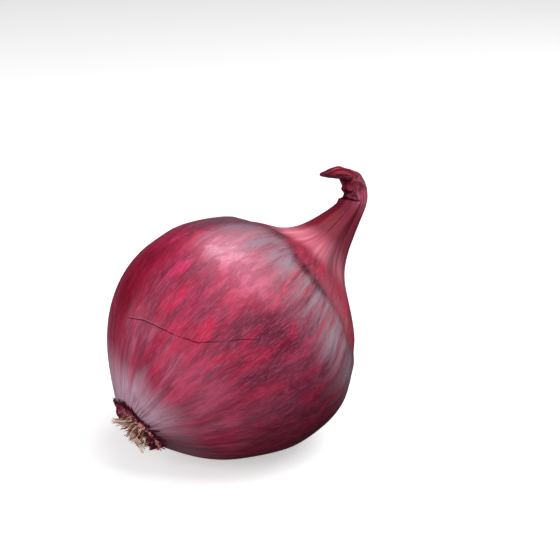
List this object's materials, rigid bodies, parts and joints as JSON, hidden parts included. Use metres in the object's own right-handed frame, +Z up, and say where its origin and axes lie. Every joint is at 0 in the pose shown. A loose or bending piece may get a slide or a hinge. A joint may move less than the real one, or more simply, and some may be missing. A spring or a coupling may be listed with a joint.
{
  "type": "red onion",
  "caption": "Whole red onion lying on its side, with dry roots, a torn collar of skin round them and a dried neck that curls over at its tip.",
  "frame": {"origin": "middle of the small flat spot under the bulb, on the floor, below the onion's centre of mass", "axes": "+Z up; the onion's own axis lies in the XZ plane, roots towards -X and low, neck towards +X and raised by about 30 degrees; -Z is the outward normal of the flat spot"},
  "size_m": [0.0876, 0.0753, 0.0814],
  "materials": {
    "onion_skin": "satin",
    "torn_dry_skin": "matte",
    "dry_roots": "matte"
  },
  "bodies": {
    "root": {"bulb": "onion_skin", "skin_collar": "torn_dry_skin", "roots": "dry_roots"}
  },
  "joints": []
}
